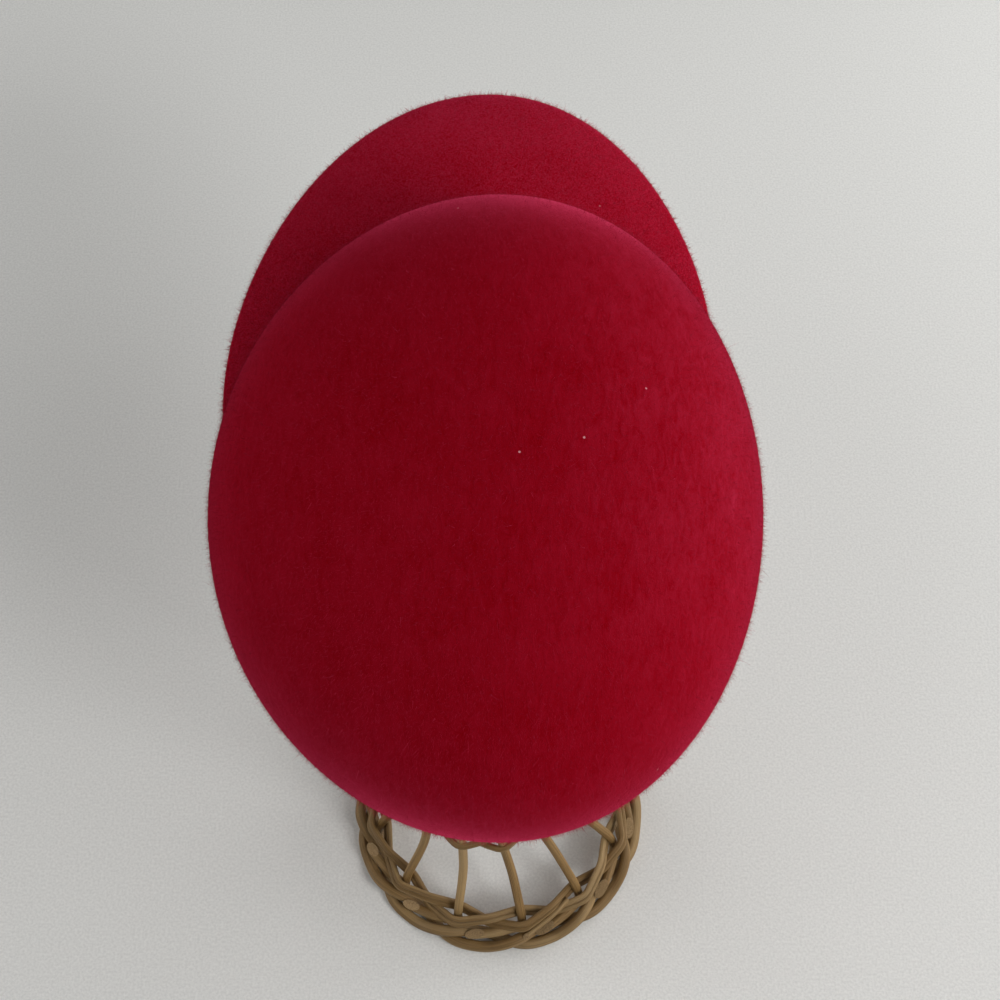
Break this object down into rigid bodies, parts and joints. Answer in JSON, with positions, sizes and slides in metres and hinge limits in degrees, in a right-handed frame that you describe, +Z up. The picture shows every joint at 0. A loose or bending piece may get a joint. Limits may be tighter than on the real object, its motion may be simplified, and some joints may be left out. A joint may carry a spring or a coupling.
{
  "type": "felt cap on a wicker stand",
  "caption": "Deep one-piece felt cap with a broad soft peak, resting on an open wicker hat stand.",
  "frame": {"origin": "Middle of the plan of the whole thing, on the floor that the stand stands on.", "axes": "+Z up; the cap's peak points towards -Y and +X is to the right of someone who faces +Y."},
  "size_m": [0.1862, 0.2842, 0.3625],
  "materials": {
    "felt": "brushed wool felt, matt with a soft sheen",
    "cane": "satin split-free rattan cane",
    "rod": "satin rattan rod, a little darker"
  },
  "bodies": {
    "root": {"felt_cap": "felt", "rib_01": "rod", "rib_02": "rod", "rib_03": "rod", "rib_04": "rod", "rib_05": "rod", "rib_06": "rod", "rib_07": "rod", "rib_08": "rod", "rib_09": "rod", "rib_10": "rod", "rib_11": "rod", "rib_12": "rod", "foot_rope_01": "cane", "foot_rope_02": "cane", "cane_end_01": "cane", "cane_end_02": "cane", "cane_end_03": "cane", "cane_end_04": "cane", "cane_end_05": "cane", "cane_end_06": "cane", "cane_end_07": "cane", "cane_end_08": "cane", "cane_end_09": "cane", "cane_end_10": "cane", "cane_end_11": "cane", "cane_end_12": "cane", "weaver_01": "cane", "weaver_02": "cane", "weaver_03": "cane", "weaver_04": "cane", "waist_01": "cane", "waist_02": "cane", "mid_hoop": "rod", "top_hoop": "rod"}
  },
  "joints": []
}
